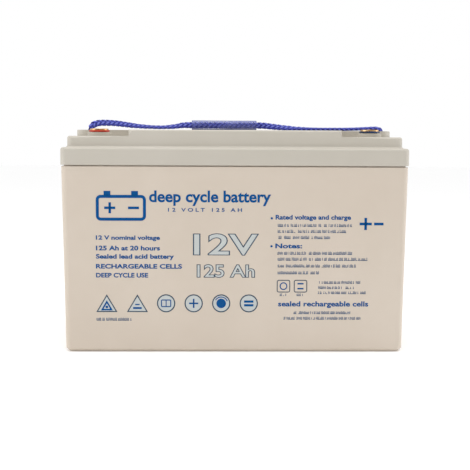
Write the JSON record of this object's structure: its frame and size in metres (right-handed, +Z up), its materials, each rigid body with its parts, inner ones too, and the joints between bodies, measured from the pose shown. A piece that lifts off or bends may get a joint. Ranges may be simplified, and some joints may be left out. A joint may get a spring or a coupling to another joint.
{
  "type": "deep cycle battery",
  "caption": "Sealed deep cycle battery with a stepped lid, corner screw terminals, a flat rope handle with a clear grip, and cells with plates, mats and vent valves inside.",
  "frame": {"origin": "middle of the base", "axes": "+Z up, +X along the battery's length, the printed front face towards -Y"},
  "size_m": [0.33, 0.171, 0.223],
  "materials": {
    "container_plastic": "fine moulded texture",
    "lid_plastic": "fine moulded texture",
    "terminal_metal": "tin plated, machined",
    "positive_ring_plastic": "satin",
    "negative_ring_plastic": "satin",
    "rope_yarn": "braided",
    "clear_vinyl": "clear, soft",
    "valve_rubber": "matt",
    "lead": "as cast, dull",
    "positive_paste": "rough, dark brown",
    "negative_paste": "rough, grey",
    "glass_mat": "felted"
  },
  "bodies": {
    "battery": {"container": "container_plastic", "lid": "lid_plastic", "top_cover": "lid_plastic", "positive_plates_1": "positive_paste", "negative_plates_1": "negative_paste", "glass_mat_1": "glass_mat", "positive_plates_2": "positive_paste", "negative_plates_2": "negative_paste", "glass_mat_2": "glass_mat", "positive_plates_3": "positive_paste", "negative_plates_3": "negative_paste", "glass_mat_3": "glass_mat", "positive_plates_4": "positive_paste", "negative_plates_4": "negative_paste", "glass_mat_4": "glass_mat", "positive_plates_5": "positive_paste", "negative_plates_5": "negative_paste", "glass_mat_5": "glass_mat", "positive_plates_6": "positive_paste", "negative_plates_6": "negative_paste", "glass_mat_6": "glass_mat", "cell_link_1": "lead", "cell_link_2": "lead", "cell_link_3": "lead", "cell_link_4": "lead", "cell_link_5": "lead", "positive_insert": "terminal_metal", "positive_ring": "positive_ring_plastic", "positive_seal": "valve_rubber", "positive_riser": "lead", "negative_insert": "terminal_metal", "negative_ring": "negative_ring_plastic", "negative_seal": "valve_rubber", "negative_riser": "lead", "left_knot": "rope_yarn", "right_knot": "rope_yarn"},
    "handle": {"rope": "rope_yarn"},
    "handle_grip": {"grip": "clear_vinyl"},
    "valve_1": {"vent_valve_1": "valve_rubber"},
    "valve_2": {"vent_valve_2": "valve_rubber"},
    "valve_3": {"vent_valve_3": "valve_rubber"},
    "valve_4": {"vent_valve_4": "valve_rubber"},
    "valve_5": {"vent_valve_5": "valve_rubber"},
    "valve_6": {"vent_valve_6": "valve_rubber"}
  },
  "joints": [
    {"name": "handle_lift", "type": "hinge", "parent": "battery", "child": "handle", "pos_m": [0, 0, 0.2122], "axis": [1, 0, 0], "range_deg": [0, 90]},
    {"name": "grip_slide", "type": "slide", "parent": "handle", "child": "handle_grip", "axis": [1, 0, 0], "range_m": [-0.008, 0.008]},
    {"name": "vent_1", "type": "slide", "parent": "battery", "child": "valve_1", "axis": [0, 0, 1], "range_m": [0, 0.0008], "stiffness_N_per_m": 60, "springref_m": -0.0005},
    {"name": "vent_2", "type": "slide", "parent": "battery", "child": "valve_2", "axis": [0, 0, 1], "range_m": [0, 0.0008], "stiffness_N_per_m": 60, "springref_m": -0.0005},
    {"name": "vent_3", "type": "slide", "parent": "battery", "child": "valve_3", "axis": [0, 0, 1], "range_m": [0, 0.0008], "stiffness_N_per_m": 60, "springref_m": -0.0005},
    {"name": "vent_4", "type": "slide", "parent": "battery", "child": "valve_4", "axis": [0, 0, 1], "range_m": [0, 0.0008], "stiffness_N_per_m": 60, "springref_m": -0.0005},
    {"name": "vent_5", "type": "slide", "parent": "battery", "child": "valve_5", "axis": [0, 0, 1], "range_m": [0, 0.0008], "stiffness_N_per_m": 60, "springref_m": -0.0005},
    {"name": "vent_6", "type": "slide", "parent": "battery", "child": "valve_6", "axis": [0, 0, 1], "range_m": [0, 0.0008], "stiffness_N_per_m": 60, "springref_m": -0.0005}
  ]
}
